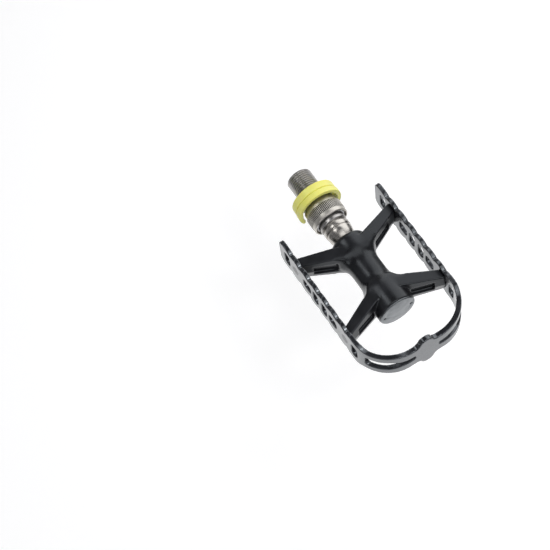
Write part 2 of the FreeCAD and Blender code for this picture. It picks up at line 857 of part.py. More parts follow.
def arm_pockets():
    """The recesses along both flanks of each arm, which leave a web between two flanges."""
    root_y = "pocket_root_y"
    end_y = f"({FOOT_Y} - foot_depth - pocket_end_wall)"
    quads = []
    for foot, root, inward in (
        ("arm_foot_near", "arm_root_near", "+"),
        ("arm_foot_far", "arm_root_far", "-"),
    ):
        outward = "-" if inward == "+" else "+"
        for along in ("-", "+"):
            for across in ("", "-"):
                quads.append(
                    [
                        (f"body_mid_x {along} ({arm_line(foot, root, y)} {shift})", f"{across}{y}")
                        for y, shift in (
                            (root_y, f"{outward} (arm_bulge + {OVERCUT})"),
                            (end_y, f"{outward} (arm_bulge + {OVERCUT})"),
                            (end_y, f"{inward} pocket_depth"),
                            (root_y, f"{inward} pocket_depth"),
                        )
                    ]
                )
    return quads


def s_curve(start_x, start_y, end_x, end_y, turn):
    """Two equal tangent arcs between two levels, as corners for an outline."""
    run = f"({end_x} - ({start_x}))"
    rise = f"({end_y} - ({start_y}))"
    bend = f"(({run} ^ 2 + {rise} ^ 2) / (4 * abs({rise})))"
    middle = (f"({start_x} + ({end_x})) / 2", f"({start_y} + ({end_y})) / 2")
    back = "-" if turn == "" else ""
    return [(start_x, start_y, f"{turn}{bend}"), (*middle, f"{back}{bend}"), (end_x, end_y)]


def make_pedal_body():
    """The cast body: a waisted barrel with four flanged arms, bored for the bearings."""
    barrel = turned(
        "barrel",
        [
            ("barrel_start_x", "0"),
            ("barrel_start_x", "inner_barrel_radius - barrel_round / 2", "-barrel_round"),
            ("barrel_start_x + barrel_round", "inner_barrel_radius"),
            *waist_line("waist_radius", "0"),
            ("barrel_end_x - cap_face / 2", "outer_barrel_radius"),
            ("barrel_end_x", "outer_barrel_radius - cap_face / 2"),
            ("barrel_end_x", "0"),
        ],
    )
    blank = combined("MultiFuse", "casting_blank", barrel, make_arms())
    recesses = extruded("arm_recesses", "XY_Plane", arm_pockets(), "2 * pocket_half_height")
    webbed = combined("Cut", "webbed_casting", blank, recesses)
    bores = turned(
        "bores",
        [
            (f"barrel_start_x - {OVERCUT}", "0"),
            (f"barrel_start_x - {OVERCUT}", "cup_radius"),
            (f"inner_row_x + {CUP_FACE}", "cup_radius"),
            (f"inner_row_x + {CUP_FACE}", "middle_bore"),
            (f"outer_row_x - {CUP_FACE}", "middle_bore"),
            (f"outer_row_x - {CUP_FACE}", "cup_radius"),
            (f"barrel_end_x + {OVERCUT}", "cup_radius"),
            (f"barrel_end_x + {OVERCUT}", "0"),
        ],
    )
    bored = combined("Cut", "bored_casting", webbed, bores)
    drilled = combined("Cut", "drilled_casting", bored, rivets("casting_drill", "static_gap"))
    node(drilled, "pedal_body")


def rivets(name, gap):
    """Four countersunk rivets through the cage into the arms' feet, each grown by the gap."""
    pieces = []
    for along in ("-", "+"):
        for across in ("", "-"):
            tag = f"{name}_{len(pieces)}"
            turn = ACROSS if across == "" else ACROSS.inverted()
            start = f"({FOOT_Y} - rivet_grip - {gap})"
            sink = "(half_width - rivet_head_depth)"
            place_x = f"body_mid_x {along} {RIVET_OFFSET}"
            shank = document.addObject("Part::Cylinder", f"{tag}_shank")
            shank.Placement.Rotation = turn
            bind(
                shank,
                Radius=f"rivet_radius + {gap}",
                Height=f"half_width - {start}",
                Placement__Base__x=place_x,
                Placement__Base__y=f"{across}{start}",
            )
            head = document.addObject("Part::Cone", f"{tag}_head")
            head.Placement.Rotation = turn
            bind(
                head,
                Radius1=f"rivet_radius + {gap}",
                Radius2=f"rivet_head_radius + {gap}",
                Height="rivet_head_depth",
                Placement__Base__x=place_x,
                Placement__Base__y=f"{across}{sink}",
            )
            document.recompute()
            pieces.append(combined("MultiFuse", tag, shank, head))
    return group(name, pieces)


def notch_x(index):
    return f"(first_notch_x + {index} * notch_pitch)"


def scallop_edge():
    """The upper edge of a side plate from its first crest to its last, as outline corners."""
    half_chord = "(notch_pitch / 2 - notch_half_width)"
    rise = "(crest_height - valley_height)"
    bend = f"(({half_chord} ^ 2 + {rise} ^ 2) / (2 * {rise}))"
    corners = [(f"{notch_x(0)} - notch_pitch / 2", "crest_height", f"-{bend}")]
    for index in range(NOTCH_COUNT):
        corners.append((f"{notch_x(index)} - notch_half_width", "valley_height"))
        corners.append((notch_x(index), "valley_height - notch_depth"))
        corners.append((f"{notch_x(index)} + notch_half_width", "valley_height", f"-{bend}"))
    corners.append((f"{notch_x(NOTCH_COUNT - 1)} + notch_pitch / 2", "crest_height"))
    return corners


def mirrored_edge(corners):
    """The same edge turned upside down and run the other way."""
    flipped = []
    for index in range(len(corners) - 1, -1, -1):
        corner = (corners[index][0], f"-({corners[index][1]})")
        if index and len(corners[index - 1]) == 3:
            corner += (corners[index - 1][2],)
        flipped.append(corner)
    return flipped


def side_outline():
    """The cage seen from the side: scalloped plates that run down to the lower end band."""
    crest_end = f"({notch_x(NOTCH_COUNT - 1)} + notch_pitch / 2 + crest_run)"
    band_start = f"({crest_end} + crest_ramp_share * ({BAND_TURN_X} - {crest_end}))"
    ramp = s_curve(crest_end, "crest_height", band_start, "band_half_height", "-")
    far = f"cage_end_x + {OVERCUT}"
    edge = [
        *scallop_edge(),
        *ramp,
        (BAND_TURN_X, "band_half_height"),
        (BAND_TURN_X, f"tab_half_height + {OVERCUT}"),
        (far, f"tab_half_height + {OVERCUT}"),
    ]
    return [
        ("tip_x", "crest_height - tip_top_round", "-tip_top_round"),
        ("tip_x + tip_top_round", "crest_height"),
        *edge,
        *mirrored_edge(edge),
        ("tip_x + tip_bottom_round", "-crest_height", "-tip_bottom_round"),
        ("tip_x", "-crest_height + tip_bottom_round"),
    ]


def plan_outline():
    """The cage seen from above: a flat band bent to a U."""
    inner_x = "(cage_end_x - band_wall)"
    inner_bend = "-(corner_radius - (plate_wall + band_wall) / 2)"
    return [
        ("tip_x", "half_width"),
        ("tip_x", FOOT_Y),
        (CORNER_X, FOOT_Y, inner_bend),
        (inner_x, CORNER_Y),
        (inner_x, f"-{CORNER_Y}", inner_bend),
        (CORNER_X, f"-{FOOT_Y}"),
        ("tip_x", f"-{FOOT_Y}"),
        ("tip_x", "-half_width"),
        (CORNER_X, "-half_width", "corner_radius"),
        ("cage_end_x", f"-{CORNER_Y}"),
        ("cage_end_x", CORNER_Y, "corner_radius"),
        (CORNER_X, "half_width"),
    ]


def end_outline():
    """The end band seen from outboard: it narrows from the corners, then widens to a tab."""
    far = f"half_width + {OVERCUT}"
    high = f"tab_half_height + {OVERCUT}"
    left_neck = "-(band_neck_y + tab_skew)"
    right_neck = "(band_neck_y - tab_skew)"
    top = [
        (f"-({far})", high),
        (f"-{BAND_TURN_Y}", high),
        (f"-{BAND_TURN_Y}", "band_half_height"),
        *s_curve("-band_full_y", "band_half_height", left_neck, "band_neck_half", "-")[:-1],
        *s_curve(left_neck, "band_neck_half", "-(tab_flat + tab_skew)", "tab_half_height", ""),
        *s_curve("(tab_flat - tab_skew)", "tab_half_height", right_neck, "band_neck_half", "-")[:-1],
        *s_curve(right_neck, "band_neck_half", "band_full_y", "band_half_height", ""),
        (BAND_TURN_Y, "band_half_height"),
        (BAND_TURN_Y, high),
        (far, high),
    ]
    return top + [(f"-({across})", f"-({height})", *bend) for across, height, *bend in top]


def slot_outline(sign):
    """One tapered slot of the end band, seen from outboard."""
    far_y = f"{sign}(half_width - corner_radius * 0.29)"
    bend = "slot_tip_half * 1.05" if sign == "-" else "-slot_tip_half * 1.05"
    return [
        (f"{sign}slot_tip_y", "-slot_tip_half", bend),
        (f"{sign}slot_tip_y", "slot_tip_half"),
        (f"{sign}slot_mid_y", "slot_mid_half"),
        (f"{sign}slot_full_y", "slot_half_height"),
        (far_y, "slot_half_height"),
        (far_y, "-slot_half_height"),
        (f"{sign}slot_full_y", "-slot_half_height"),
        (f"{sign}slot_mid_y", "-slot_mid_half"),
    ]


def rounded_window(centre_x, width, high):
    """An upright window with rounded corners, seen from the side."""
    left = f"({centre_x} - {width} / 2)"
    right = f"({centre_x} + {width} / 2)"
    top = f"({high} / 2)"
    return [
        (f"{left} + window_round", f"-{top}"),
        (f"{right} - window_round", f"-{top}", "window_round"),
        (right, f"-{top} + window_round"),
        (right, f"{top} - window_round", "window_round"),
        (f"{right} - window_round", top),
        (f"{left} + window_round", top, "window_round"),
        (left, f"{top} - window_round"),
        (left, f"-{top} + window_round", "window_round"),
    ]


def make_cage():
    """The cage: one band bent round the end, scalloped, pierced and riveted to the arms."""
    tall = "2 * tab_half_height + plate_wall"
    wide = "2 * half_width + plate_wall"
    band = extruded("cage_band", "XY_Plane", [plan_outline()], tall)
    sides = extruded("cage_sides", "XZ_Plane", [side_outline()], wide)
    end = extruded("cage_end", "YZ_Plane", [end_outline()], f"cage_end_x + {OVERCUT}", symmetric=False)
    blank = combined("MultiCommon", "cage_blank", band, sides, end)

    slot_pair = [slot_outline("-"), slot_outline("")]
    slots = extruded("end_slots", "YZ_Plane", slot_pair, "cage_end_x", symmetric=False)
    near_x = f"{CORNER_X} + corner_radius * 0.6"
    mid_x = BAND_TURN_X
    slot_zone = extruded(
        "slot_zone",
        "XY_Plane",
        [rectangle(near_x, "-half_width", f"cage_end_x + {OVERCUT}", "half_width")],
        tall,
    )
    front_slots = combined("MultiCommon", "front_slots", slots, slot_zone)
    top = "slot_half_height"
    side_slots = extruded(
        "side_slots",
        "XZ_Plane",
        [
            [
                ("slot_end_x", f"-{top} + slot_end_round", "slot_end_round"),
                ("slot_end_x + slot_end_round", f"-{top}"),
                (mid_x, f"-{top}"),
                (mid_x, top),
                ("slot_end_x + slot_end_round", top, "slot_end_round"),
                ("slot_end_x", f"{top} - slot_end_round"),
            ]
        ],
        wide,
    )
    narrow = ("window_width", "window_height")
    wide_one = ("wide_window_width", "wide_window_height")
    windows = [
        rounded_window("first_window_x", *narrow),
        rounded_window("(body_mid_x - 1.5 * window_pitch)", *wide_one),
        rounded_window("(body_mid_x - 0.5 * window_pitch)", *narrow),
        rounded_window("(body_mid_x + 0.5 * window_pitch)", *narrow),
        rounded_window("(body_mid_x + 1.5 * window_pitch)", *wide_one),
        rounded_window("last_window_x", *narrow),
    ]
    openings = extruded("cage_windows", "XZ_Plane", windows, wide)
    cuts = combined("MultiFuse", "cage_cuts", front_slots, side_slots, openings)
    pierced = combined("Cut", "pierced_cage", blank, cuts)
    node(combined("Cut", "drilled_cage", pierced, rivets("cage_drill", "static_gap")), "cage")
    node(rivets("fixing_rivets", "0"), "cage_rivets")


def check_and_export():
    """Stop on any failed feature or bad solid, then write one file for each piece."""
    document.recompute()
    for feature in document.Objects:
        if any(word in ("Invalid", "Error") for word in feature.State):
            raise RuntimeError(f"{feature.Name} failed: {feature.State}")
    for piece in nodes:
        if piece.Shape.isNull() or not piece.Shape.isValid() or not piece.Shape.Solids:
            raise RuntimeError(f"{piece.Label} has no valid solid")
    os.makedirs("parts", exist_ok=True)
    for piece in nodes:
        piece.Shape.exportStep(os.path.join("parts", f"{piece.Label}.step"))
        print(f"{piece.Label}: {len(piece.Shape.Solids)} solids, {piece.Shape.Volume:.1f} mm3")


make_coupler()
make_lock()
make_clip()
make_axle()
make_bearings()
make_cap()
make_pedal_body()
make_cage()
check_and_export()
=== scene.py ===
import json
import math

import bmesh
import bpy
import numpy as np
from mathutils import Matrix, Vector


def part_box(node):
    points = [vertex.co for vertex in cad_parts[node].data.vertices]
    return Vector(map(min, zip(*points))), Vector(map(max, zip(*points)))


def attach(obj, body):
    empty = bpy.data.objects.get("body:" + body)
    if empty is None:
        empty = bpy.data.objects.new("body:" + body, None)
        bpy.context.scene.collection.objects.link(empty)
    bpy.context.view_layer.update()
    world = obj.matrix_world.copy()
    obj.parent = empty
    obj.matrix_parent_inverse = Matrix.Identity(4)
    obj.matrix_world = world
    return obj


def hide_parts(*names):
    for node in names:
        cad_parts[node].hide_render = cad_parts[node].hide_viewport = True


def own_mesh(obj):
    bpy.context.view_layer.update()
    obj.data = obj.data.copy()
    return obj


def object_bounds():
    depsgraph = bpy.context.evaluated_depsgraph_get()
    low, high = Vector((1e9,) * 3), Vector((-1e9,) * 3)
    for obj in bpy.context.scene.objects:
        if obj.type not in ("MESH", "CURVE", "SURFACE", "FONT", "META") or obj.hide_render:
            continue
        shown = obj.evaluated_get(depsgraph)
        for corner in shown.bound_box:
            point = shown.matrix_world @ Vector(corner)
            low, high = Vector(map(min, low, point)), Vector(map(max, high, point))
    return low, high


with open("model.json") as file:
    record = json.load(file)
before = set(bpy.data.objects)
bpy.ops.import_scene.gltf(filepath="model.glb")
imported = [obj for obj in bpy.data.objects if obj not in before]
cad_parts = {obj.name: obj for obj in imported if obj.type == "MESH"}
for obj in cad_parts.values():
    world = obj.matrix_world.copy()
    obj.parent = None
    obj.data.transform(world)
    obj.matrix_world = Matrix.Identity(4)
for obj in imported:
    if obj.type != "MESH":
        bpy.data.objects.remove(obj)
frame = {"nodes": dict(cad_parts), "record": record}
CAD_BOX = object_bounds()
MM = 0.001
AXLE = Vector((1, 0, 0))
MIDDLE = Vector((55, 0, 0)) * MM

# The photograph's camera, in the part's frame
CAMERA_PLACE = Vector((370.8, -179.4, 734.7)) * MM
CAMERA_RIGHT = Vector((0.5284, 0.8445, -0.0868))
CAMERA_UP = Vector((-0.739, 0.5085, 0.4403))
PHOTO_PIXELS = 550
FOCAL_PIXELS = 1600
SENSOR = 36
NEAREST_SEEN = 0.01

# Sizes that the added shapes share with the solids
BEARING_BORE = 8.3 * MM
MIDDLE_BORE = 5.75 * MM
MIDDLE_BORE_FROM = 39.9 * MM
MIDDLE_BORE_TO = 67.1 * MM
WAIST_MIDDLE = 54.5 * MM
WAIST_REACH = 18 * MM
WAIST_WIDTH = 13 * MM
STUD_LENGTH = 13.5 * MM
STUD_RADIUS = 7.14 * MM
STUD_CHAMFER = 0.9 * MM
THREAD_PITCH = 25.4 / 20 * MM
THREAD_DEPTH = 0.75 * MM
THREAD_FLANK = 0.4
THREAD_ROWS_PER_TURN = 12
THREAD_COLUMNS = 72
KNURL_START = 11.3 * MM
KNURL_END = 16.6 * MM
KNURL_CUT = 0.4 * MM
# Painted shade: the dark colour that the lower half of the knurl's grooves is blended toward.
PAINTED_KNURL_SHADE = (0.02, 0.02, 0.02)

# Smoothing: cells of the smoothed copies, fades, steps forth and back, and angles in degrees
CASTING_CELL = 0.38 * MM
CAGE_CELL = 0.32 * MM
CLIP_CELL = 0.2 * MM
BORE_FADE = 0.6 * MM
WAIST_FADE = 3
FORTH = 0.5
BACK = 0.52
WELD = 0.002 * MM
FLAT_ANGLE = 0.6
BEVEL_ANGLE = 35
SMOOTH_ANGLE = 40

# Light: a white floor, a dim room, and lamps by name, place (mm from the middle), sizes (m) and watts
FLOOR_DROP = 90 * MM
FLOOR_REACH = 4.0
FLOOR_SEEN = 0.38
FLOOR_GLOW = 0.6
GLOW_FULL = 110 * MM
GLOW_GONE = 330 * MM
ROOM_LOW = (0.50, 0.50, 0.51)
ROOM_HIGH = (0.10, 0.10, 0.11)
ROOM_TURN = 0.55
LAMPS = (
    ("key", (-300, 510, 360), 0.9, 0.75, 3.6),
    ("over", (330, 60, 600), 0.7, 0.7, 2.2),
    ("fill", (420, -470, 260), 0.4, 0.3, 0.6),
    ("spark", (-290, -310, 555), 0.24, 0.24, 0.7),
    ("glint", (345, 118, 598), 0.1, 0.1, 0.4),
)


class Nodes:
    """A material's node tree with short calls for making and joining nodes."""

    def __init__(self, name):
        self.material = bpy.data.materials.new(name)
        self.material.use_nodes = True
        self.tree = self.material.node_tree
        self.shader = self.tree.nodes["Principled BSDF"]
        self.place = self.add("ShaderNodeTexCoord").outputs["Object"]

    def add(self, kind, **settings):
        node = self.tree.nodes.new(kind)
        for key, value in settings.items():
            setattr(node, key, value)
        return node

    def join(self, output, socket):
        self.tree.links.new(output, socket)

    def set(self, **values):
        for key, value in values.items():
            self.shader.inputs[key.replace("_", " ")].default_value = value

    def noise(self, scale, detail=3.0, stretch=(1, 1, 1)):
        """Noise in the part's own metres, so a scale is features per metre."""
        mapping = self.add("ShaderNodeMapping")
        mapping.inputs["Scale"].default_value = stretch
        self.join(self.place, mapping.inputs["Vector"])
        noise = self.add("ShaderNodeTexNoise")
        noise.inputs["Scale"].default_value = scale
        noise.inputs["Detail"].default_value = detail
        self.join(mapping.outputs["Vector"], noise.inputs["Vector"])
        return noise.outputs["Fac"]

    def rings(self, pitch):
        """Even rings round the axle. At a scale of one, the wave's rings are a twentieth of tau apart."""
        wave = self.add("ShaderNodeTexWave", wave_type="RINGS", rings_direction="X")
        wave.inputs["Scale"].default_value = math.tau / (20 * pitch)
        wave.inputs["Distortion"].default_value = 0.6
        self.join(self.place, wave.inputs["Vector"])
        return wave.outputs["Fac"]

    def knurl_depth(self):
        """Nought on the knurl's crests and everywhere else, one in the lower half of its grooves."""
        across = self.add("ShaderNodeVectorMath", operation="MULTIPLY")
        across.inputs[1].default_value = (0, 1, 1)
        self.join(self.place, across.inputs[0])
        radius = self.add("ShaderNodeVectorMath", operation="LENGTH")
        self.join(across.outputs["Vector"], radius.inputs[0])
        depth = self.add("ShaderNodeMapRange")
        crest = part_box("lock_collar")[1][2]
        depth.inputs["From Min"].default_value = crest
        depth.inputs["From Max"].default_value = crest - KNURL_CUT / 2
        self.join(radius.outputs["Value"], depth.inputs["Value"])
        split = self.add("ShaderNodeSeparateXYZ")
        self.join(self.place, split.inputs["Vector"])
        band = self.add("ShaderNodeMath", operation="COMPARE")
        band.inputs[1].default_value = (KNURL_START + KNURL_END) / 2
        band.inputs[2].default_value = (KNURL_END - KNURL_START) / 2
        self.join(split.outputs["X"], band.inputs[0])
        inside = self.add("ShaderNodeMath", operation="MULTIPLY")
        self.join(depth.outputs["Result"], inside.inputs[0])
        self.join(band.outputs["Value"], inside.inputs[1])
        return inside.outputs["Value"]

    def blended(self, share, colour, other):
        """A colour, going over to another fixed one as the share rises to one."""
        mix = self.add("ShaderNodeMix", data_type="RGBA")
        self.join(share, mix.inputs["Factor"])
        self.join(colour, mix.inputs["A"])
        mix.inputs["B"].default_value = (*other, 1)
        return mix.outputs["Result"]

    def ramp(self, value, low, high, start=0.35, end=0.65):
        """A value spread between two colours or two numbers."""
        ramp = self.add("ShaderNodeValToRGB")
        for element, place, colour in zip(ramp.color_ramp.elements, (start, end), (low, high)):
            element.position = place
            element.color = (*colour, 1) if isinstance(colour, tuple) else (colour, colour, colour, 1)
        self.join(value, ramp.inputs["Fac"])
        return ramp.outputs["Color"]

    def bump(self, height, distance, strength=1.0):
        bump = self.add("ShaderNodeBump")
        bump.inputs["Distance"].default_value = distance
        bump.inputs["Strength"].default_value = strength
        self.join(height, bump.inputs["Height"])
        self.join(bump.outputs["Normal"], self.shader.inputs["Normal"])

    def paint(self, colour):
        self.join(colour, self.shader.inputs["Base Color"])

    def rough(self, value):
        self.join(value, self.shader.inputs["Roughness"])


def metal(name, dark, light, rough_low, rough_high, lathe=False, knurled=False):
    """Bare metal with fine turning lines round the axle or an even grain, and painted shade darkening the
    grooves of any knurl.
    """
    nodes = Nodes(name)
    nodes.set(Metallic=1.0)
    stretch = (1, 0.02, 0.02) if lathe else (1, 1, 1)
    lines = nodes.noise(3200 if lathe else 900, 2.0, stretch)
    cloud = nodes.noise(160, 3.0)
    colour = nodes.ramp(cloud, dark, light)
    # Painted shade: the knurl's grooves are darkened toward this colour, deeper grooves more.
    nodes.paint(nodes.blended(nodes.knurl_depth(), colour, PAINTED_KNURL_SHADE) if knurled else colour)
    nodes.rough(nodes.ramp(lines, rough_low, rough_high))
    nodes.bump(lines, 0.002 * MM, 0.3)
    return nodes.material


def turned_face():
    """The cap's grey face, with the fine rings that a cutter leaves."""
    nodes = Nodes("silver_cap")
    nodes.set(Metallic=1.0)
    rings = nodes.rings(0.35 * MM)
    cloud = nodes.noise(300, 3.0)
    nodes.paint(nodes.ramp(cloud, (0.15, 0.16, 0.17), (0.20, 0.21, 0.22)))
    nodes.rough(nodes.ramp(rings, 0.30, 0.42, 0.0, 1.0))
    nodes.bump(rings, 0.004 * MM, 0.3)
    return nodes.material


def black_coat(name, dark, light, rough_low, rough_high, *, grain, depth, bending):
    """A black finish on alloy, with the grain of the casting or plate under it."""
    nodes = Nodes(name)
    nodes.set(IOR=bending, Specular_Tint=COOL_TINT)
    fine = nodes.noise(grain, 4.0)
    cloud = nodes.noise(120, 3.0)
    nodes.paint(nodes.ramp(cloud, dark, light))
    nodes.rough(nodes.ramp(cloud, rough_low, rough_high))
    nodes.bump(fine, depth, 0.5)
    return nodes.material


def yellow_plastic():
    """Moulded lemon plastic with fine lines round the ring."""
    nodes = Nodes("yellow_plastic")
    nodes.set(IOR=1.46, Subsurface_Weight=0.08, Subsurface_Scale=0.6 * MM)
    lines = nodes.noise(2600, 1.0, (1, 0.03, 0.03))
    cloud = nodes.noise(140, 2.0)
    nodes.paint(nodes.ramp(cloud, (0.85, 0.83, 0.17), (0.90, 0.88, 0.25)))
    nodes.rough(nodes.ramp(lines, 0.34, 0.5))
    nodes.bump(lines, 0.03 * MM, 0.4)
    return nodes.material


def seal_rubber():
    nodes = Nodes("seal_rubber")
    grain = nodes.noise(1500, 3.0)
    nodes.paint(nodes.ramp(grain, (0.012, 0.012, 0.012), (0.022, 0.022, 0.022)))
    nodes.rough(nodes.ramp(grain, 0.6, 0.8))
    nodes.bump(grain, 0.02 * MM)
    return nodes.material


COOL_TINT = (0.88, 0.94, 1.0, 1)
BLACK = ((0.006, 0.006, 0.007), (0.010, 0.010, 0.012))
FADED_BLACK = ((0.01, 0.01, 0.011), (0.02, 0.02, 0.022))
STEEL = ((0.36, 0.35, 0.34), (0.42, 0.41, 0.40))
WARM_STEEL = ((0.43, 0.41, 0.38), (0.49, 0.47, 0.44))
NICKEL = ((0.50, 0.48, 0.44), (0.56, 0.54, 0.50))
BRIGHT_STEEL = ((0.62, 0.62, 0.63), (0.70, 0.70, 0.71))
DULL_STEEL = ((0.34, 0.34, 0.35), (0.46, 0.46, 0.47))
MATERIALS = {
    "turned_steel": metal("turned_steel", *STEEL, 0.29, 0.37, lathe=True),
    "polished_steel": metal("polished_steel", *WARM_STEEL, 0.26, 0.32, lathe=True),
    "nickel_plate": metal("nickel_plate", *NICKEL, 0.36, 0.44, knurled=True),
    "ball_steel": metal("ball_steel", *BRIGHT_STEEL, 0.06, 0.1),
    "spring_steel": metal("spring_steel", *DULL_STEEL, 0.25, 0.35),
    "silver_cap": turned_face(),
    "yellow_plastic": yellow_plastic(),
    "seal_rubber": seal_rubber(),
    "black_casting": black_coat(
        "black_casting", *BLACK, 0.27, 0.35, grain=1800, depth=0.012 * MM, bending=1.46
    ),
    "black_cage": black_coat("black_cage", *BLACK, 0.16, 0.24, grain=700, depth=0.005 * MM, bending=1.9),
    "rivet_alloy": black_coat(
        "rivet_alloy", *FADED_BLACK, 0.25, 0.35, grain=900, depth=0.01 * MM, bending=1.7
    ),
}
SLOTS = {part["node"]: part["material_slot"] for part in frame["record"]["subparts"]}
BODIES = {
    node: body for body, nodes in frame["record"]["behaviour"]["bodies"].items() for node in nodes
}


def finish_as(piece, material):
    piece.data.materials.clear()
    piece.data.materials.append(material)


def copied(node, name):
    """A new piece from a CAD node's mesh, with its doubled corners joined."""
    mesh = frame["nodes"][node].data.copy()
    mesh.name = name
    edit = bmesh.new()
    edit.from_mesh(mesh)
    bmesh.ops.remove_doubles(edit, verts=edit.verts, dist=WELD)
    edit.to_mesh(mesh)
    edit.free()
    if mesh.attributes.get("custom_normal"):
        mesh.attributes.remove(mesh.attributes["custom_normal"])
    piece = bpy.data.objects.new(name, mesh)
    bpy.context.scene.collection.objects.link(piece)
    return piece


def takes_place(piece, node):
    """The piece stands for that node: same body, same slot, same finish."""
    finish_as(piece, MATERIALS[SLOTS[node]])
    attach(piece, BODIES[node])
    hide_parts(node)


def smooth_by_angle(mesh):
    mesh.shade_smooth()
    mesh.set_sharp_from_angle(angle=math.radians(SMOOTH_ANGLE))


def dress_nodes():
    """Every CAD node gets its slot's finish."""
    for node, piece in frame["nodes"].items():
        finish_as(piece, MATERIALS[SLOTS[node]])


def evaluated(piece):
    """The piece's mesh with its modifiers applied and taken off."""
    final = piece.evaluated_get(bpy.context.evaluated_depsgraph_get())
    shaped = bpy.data.meshes.new_from_object(final)
    old = piece.data
    piece.modifiers.clear()
    piece.data = shaped
    bpy.data.meshes.remove(old)
    return shaped


def relax(mesh, rounds, moves, back=BACK):
    """Smooth a mesh by moving each corner toward its neighbours, and back so that it doesn't shrink."""
    count = len(mesh.vertices)
    place = np.empty(count * 3)
    mesh.vertices.foreach_get("co", place)
    place = place.reshape(-1, 3)
    pairs = np.empty(len(mesh.edges) * 2, dtype=np.int64)
    mesh.edges.foreach_get("vertices", pairs)
    first, second = pairs.reshape(-1, 2).T
    share = np.bincount(pairs, minlength=count)[:, None]
    weight = moves(place)[:, None]
    for _ in range(rounds):
        for step in (FORTH, -back) if back else (FORTH,):
            total = np.zeros_like(place)
            np.add.at(total, first, place[second])
            np.add.at(total, second, place[first])
            place = place + step * weight * (total / share - place)
    mesh.vertices.foreach_set("co", place.ravel())
    mesh.update()


def off_the_bores(place):
    """One on the casting's outside, nought in its bores, where the bearings sit."""
    x, radius = place[:, 0], np.hypot(place[:, 1], place[:, 2])
    bore = np.where((x > MIDDLE_BORE_FROM) & (x < MIDDLE_BORE_TO), MIDDLE_BORE, BEARING_BORE)
    return np.clip((radius - bore) / BORE_FADE, 0, 1)


def at_the_waist(place):
    """One where the barrel, the web and the arms' roots run together, fading to nought around it."""
    along = np.abs(place[:, 0] - WAIST_MIDDLE) / WAIST_REACH
    across = np.abs(place[:, 1]) / WAIST_WIDTH
    inside = np.clip(WAIST_FADE * (1 - along), 0, 1) * np.clip(WAIST_FADE * (1 - across), 0, 1)
    return off_the_bores(place) * inside


def anywhere(place):
    return np.ones(len(place))


def moulded(node, name, cell, rounds, moves=anywhere):
    """A copy of a CAD node in small even cells, with its edges and inner corners rounded off."""
    piece = copied(node, name)
    remesh = piece.modifiers.new("cells", "REMESH")
    remesh.mode = "VOXEL"
    remesh.voxel_size = cell
    mesh = evaluated(piece)
    relax(mesh, rounds, moves)
    mesh.shade_smooth()
    takes_place(piece, node)
    return piece


def make_casting():
    """The cast body, with wide fillets where its arms leave the barrel."""
    piece = moulded("pedal_body", "cast_body", CASTING_CELL, rounds=16, moves=off_the_bores)
    relax(piece.data, rounds=90, moves=at_the_waist, back=0)


def soften(node, name, width, segments=2):
    """A copy of a CAD node with its sharp edges rounded off."""
    piece = copied(node, name)
    edit = bmesh.new()
    edit.from_mesh(piece.data)
    bmesh.ops.dissolve_limit(
        edit,
        angle_limit=math.radians(FLAT_ANGLE),
        use_dissolve_boundaries=False,
        verts=edit.verts,
        edges=edit.edges,
    )
    edges = [
        edge for edge in edit.edges
        if len(edge.link_faces) == 2 and edge.calc_face_angle() > math.radians(BEVEL_ANGLE)
    ]
    bmesh.ops.bevel(
        edit,
        geom=edges,
        offset=width,
        offset_type="OFFSET",
        segments=segments,
        profile=0.5,
        affect="EDGES",
        clamp_overlap=True,
    )
    edit.to_mesh(piece.data)
    edit.free()
    smooth_by_angle(piece.data)
    takes_place(piece, node)


def thread_radius(x, turn):
    """The stud's radius at a place along it and a share of a turn round it."""
    phase = (x / THREAD_PITCH - turn) % 1
    height = min((0.5 - abs(phase - 0.5)) / THREAD_FLANK, 1.0)
    chamfered = STUD_RADIUS - STUD_CHAMFER + (x + STUD_LENGTH)
    return min(STUD_RADIUS - THREAD_DEPTH * (1 - height), chamfered)


def make_stud():
    """The coupler with a cut thread on its crank stud, in place of the plain cylinder."""
    piece = copied("crank_coupler", "threaded_coupler")
    edit = bmesh.new()
    edit.from_mesh(piece.data)
    everything = edit.verts[:] + edit.edges[:] + edit.faces[:]
    crank_face = (0, 0, 0)
    cut = bmesh.ops.bisect_plane(
        edit, geom=everything, plane_co=crank_face, plane_no=AXLE, clear_inner=True
    )
    rim = [item for item in cut["geom_cut"] if isinstance(item, bmesh.types.BMEdge)]
    bmesh.ops.contextual_create(edit, geom=rim)

    rows = int(STUD_LENGTH / THREAD_PITCH * THREAD_ROWS_PER_TURN)
    rings = []
    for row in range(rows + 1):
        x = -STUD_LENGTH + STUD_LENGTH * row / rows
        ring = []
        for column in range(THREAD_COLUMNS):
            turn = column / THREAD_COLUMNS
            radius = thread_radius(x, turn)
            angle = math.tau * turn
            ring.append(edit.verts.new((x, radius * math.sin(angle), radius * math.cos(angle))))
        rings.append(ring)
    for lower, upper in zip(rings, rings[1:]):
        for column in range(THREAD_COLUMNS):
            after = (column + 1) % THREAD_COLUMNS
            edit.faces.new((lower[column], lower[after], upper[after], upper[column]))
    edit.faces.new(reversed(rings[0]))
    edit.faces.new(rings[-1])
    bmesh.ops.recalc_face_normals(edit, faces=edit.faces)
    edit.to_mesh(piece.data)
    edit.free()
    smooth_by_angle(piece.data)
    takes_place(piece, "crank_coupler")


def make_spring():
    """The collar's spring, copied with smooth shading and given a mesh of its own."""
    piece = copied("collar_spring", "coil")
    smooth_by_angle(piece.data)
    takes_place(piece, "collar_spring")
    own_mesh(piece)


